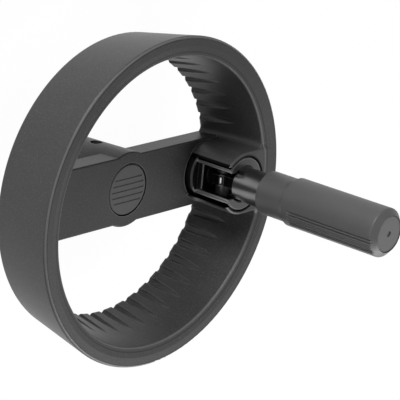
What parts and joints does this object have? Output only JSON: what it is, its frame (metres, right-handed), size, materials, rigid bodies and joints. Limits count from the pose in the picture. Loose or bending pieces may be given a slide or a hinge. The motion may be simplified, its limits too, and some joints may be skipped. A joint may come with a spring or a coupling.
{
  "type": "machine handwheel",
  "caption": "Deep-rimmed two-spoke machine handwheel with a plain hub bore and a revolving cylindrical handle that folds down inside the rim.",
  "frame": {"origin": "centre of the shaft bore at the hub's back face", "axes": "+Z along the bore towards the operator, +X from the bore to the handle"},
  "size_m": [0.16, 0.16, 0.1476],
  "materials": {
    "coated_casting": "fine-textured dark powder coat on cast aluminium",
    "black_plastic": "fine satin moulding",
    "black_steel": "black-oxide steel",
    "bright_steel": "ground steel",
    "bush_bronze": "plain sintered bronze"
  },
  "bodies": {
    "wheel": {"wheel_body": "coated_casting", "hub_bush": "bright_steel", "hub_cap": "black_plastic", "hub_set_screw": "black_steel", "handle_housing": "black_steel", "housing_screw": "black_steel", "housing_dowel": "bright_steel", "pivot_pin": "bright_steel", "pivot_spacers": "bright_steel", "detent_spring": "bright_steel"},
    "plunger": {"detent_plunger": "black_steel"},
    "handle": {"handle_stem": "black_steel", "thrust_washer": "bright_steel", "spring_washer": "bright_steel", "retaining_washer": "bright_steel", "retaining_screw": "black_steel"},
    "grip": {"grip_sleeve": "black_plastic", "inner_bush": "bush_bronze", "outer_bush": "bush_bronze", "end_cap": "black_plastic"}
  },
  "joints": [
    {"name": "handle_fold", "type": "hinge", "parent": "wheel", "child": "handle", "pos_m": [0.055, 0, 0.0472], "axis": [0, -1, 0], "range_deg": [0, 90]},
    {"name": "grip_spin", "type": "hinge", "parent": "handle", "child": "grip", "pos_m": [0.055, 0, 0.1], "axis": [0, 0, 1], "continuous": true},
    {"name": "detent_press", "type": "slide", "parent": "wheel", "child": "plunger", "axis": [0, 0, 1], "range_m": [-0.001, 0], "stiffness_N_per_m": 2900, "deforming": ["detent_spring"]}
  ]
}
